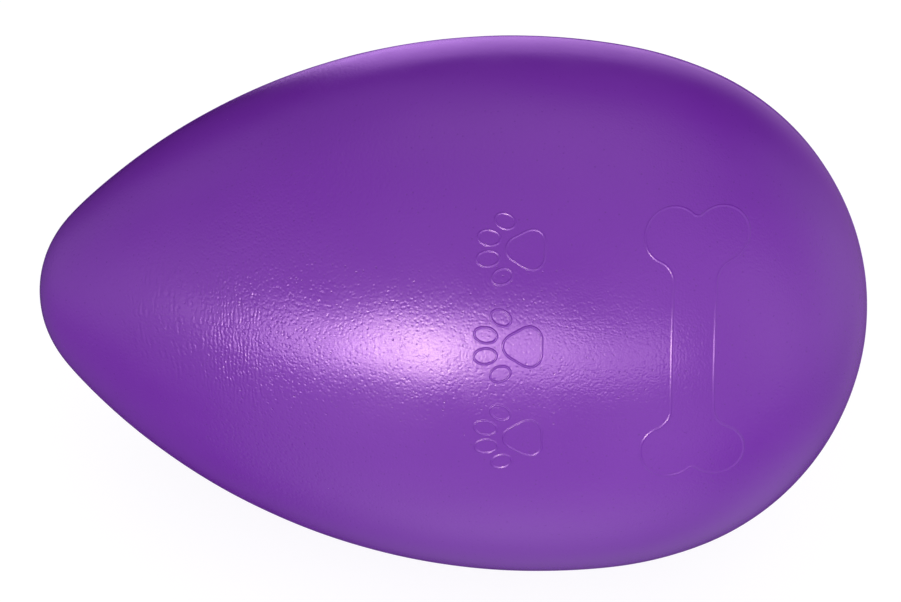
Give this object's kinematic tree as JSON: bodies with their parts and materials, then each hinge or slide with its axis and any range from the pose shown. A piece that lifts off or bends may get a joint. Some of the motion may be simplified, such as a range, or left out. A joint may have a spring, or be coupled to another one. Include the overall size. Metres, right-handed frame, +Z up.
{
  "type": "egg-shaped dog toy",
  "caption": "Sealed, hollow, hard plastic egg for dogs to push and chase, lying on its side, with raised paw print and bone outlines round its broad half.",
  "frame": {"origin": "on the floor, under the middle of the egg's bounding box", "axes": "+X along the egg's long axis in plan, from the narrow end to the broad end; +Z up; the raised ornament faces -Y and up. The long axis is 6 degrees off level, narrow end lower, as the egg comes to rest on its flank"},
  "size_m": [0.2025, 0.13, 0.131],
  "materials": {
    "purple_plastic": "satin"
  },
  "bodies": {
    "root": {"egg_shell": "purple_plastic"}
  },
  "joints": []
}
